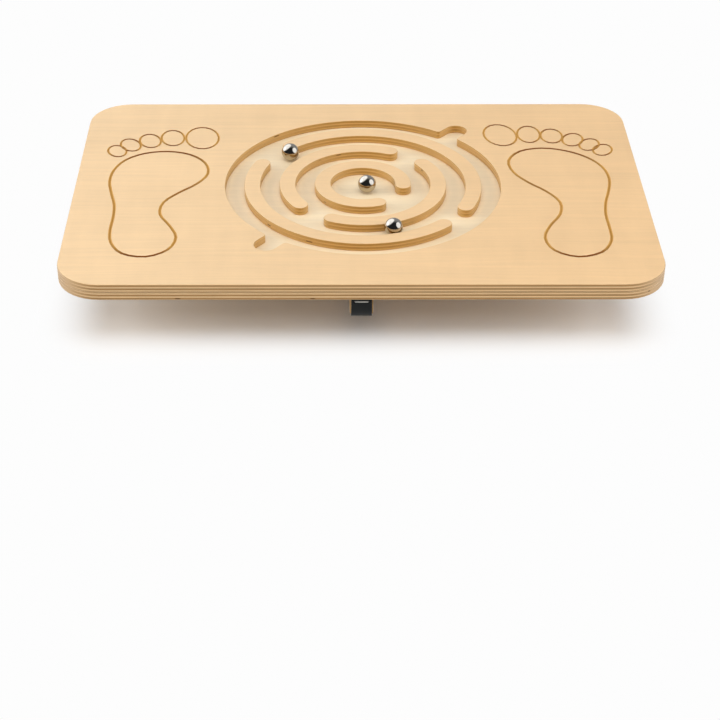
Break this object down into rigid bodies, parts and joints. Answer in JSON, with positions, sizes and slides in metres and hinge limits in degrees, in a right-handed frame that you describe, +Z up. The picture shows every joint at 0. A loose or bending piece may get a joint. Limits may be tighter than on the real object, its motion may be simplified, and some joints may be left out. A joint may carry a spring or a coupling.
{
  "type": "labyrinth balance board",
  "caption": "Plywood balance board on two crossed rocker arcs, with a round ball labyrinth and engraved footprints in its top.",
  "frame": {"origin": "under the middle of the deck, on the surface that the crossing of the rockers stands on", "axes": "+X along the deck's long side, from the left footprint to the right one; +Y to the back, towards the toes; +Z up"},
  "size_m": [0.5, 0.325, 0.0746],
  "materials": {
    "birch_ply_lacquered": "clear satin lacquer on birch face veneer, plies showing on cut edges",
    "birch_ply_raw": "birch plywood, pale and matt on the maze floor, lacquered underneath",
    "birch_ply_rocker": "clear satin lacquer on birch plywood",
    "rubber_tape_black": "matt black rubber tape with a fine woven grain",
    "zinc_plated_steel": "zinc plated wire",
    "polished_steel": "polished bearing steel",
    "beech_dowel": "plain beech"
  },
  "bodies": {
    "board": {"deck_base_sheet": "birch_ply_raw", "deck_top_sheet": "birch_ply_lacquered", "maze_wall_inner": "birch_ply_lacquered", "maze_wall_middle_back": "birch_ply_lacquered", "maze_wall_middle_front": "birch_ply_lacquered", "maze_wall_outer_back": "birch_ply_lacquered", "maze_wall_outer_front": "birch_ply_lacquered", "rocker_long": "birch_ply_rocker", "rocker_short": "birch_ply_rocker", "tape_long": "rubber_tape_black", "tape_short": "rubber_tape_black", "stop_strip_left": "rubber_tape_black", "stop_strip_right": "rubber_tape_black", "staple_crossing": "zinc_plated_steel", "staple_tape_front": "zinc_plated_steel", "staple_tape_back": "zinc_plated_steel", "staple_strip_left": "zinc_plated_steel", "staple_strip_right": "zinc_plated_steel", "rocker_screw_left": "zinc_plated_steel", "rocker_screw_right": "zinc_plated_steel", "rocker_screw_front": "zinc_plated_steel", "rocker_screw_back": "zinc_plated_steel", "rocker_dowel_left": "beech_dowel", "rocker_dowel_right": "beech_dowel", "rocker_dowel_front": "beech_dowel", "rocker_dowel_back": "beech_dowel"},
    "left_ball": {"ball_left": "polished_steel"},
    "front_ball": {"ball_front": "polished_steel"},
    "centre_ball": {"ball_centre": "polished_steel"}
  },
  "joints": [
    {"name": "left_ball_run", "type": "slide", "parent": "board", "child": "left_ball", "axis": [-0.995, -0.0996, 0], "range_m": [-0.0064, 0.0345]},
    {"name": "front_ball_run", "type": "hinge", "parent": "board", "child": "front_ball", "pos_m": [0.0035, 0.006, 0.06664], "axis": [0, 0, 1], "range_deg": [-135.5, 195.5]},
    {"name": "centre_ball_run", "type": "slide", "parent": "board", "child": "centre_ball", "axis": [0.7934, -0.6088, 0], "range_m": [-0.0245, 0.0465]}
  ]
}
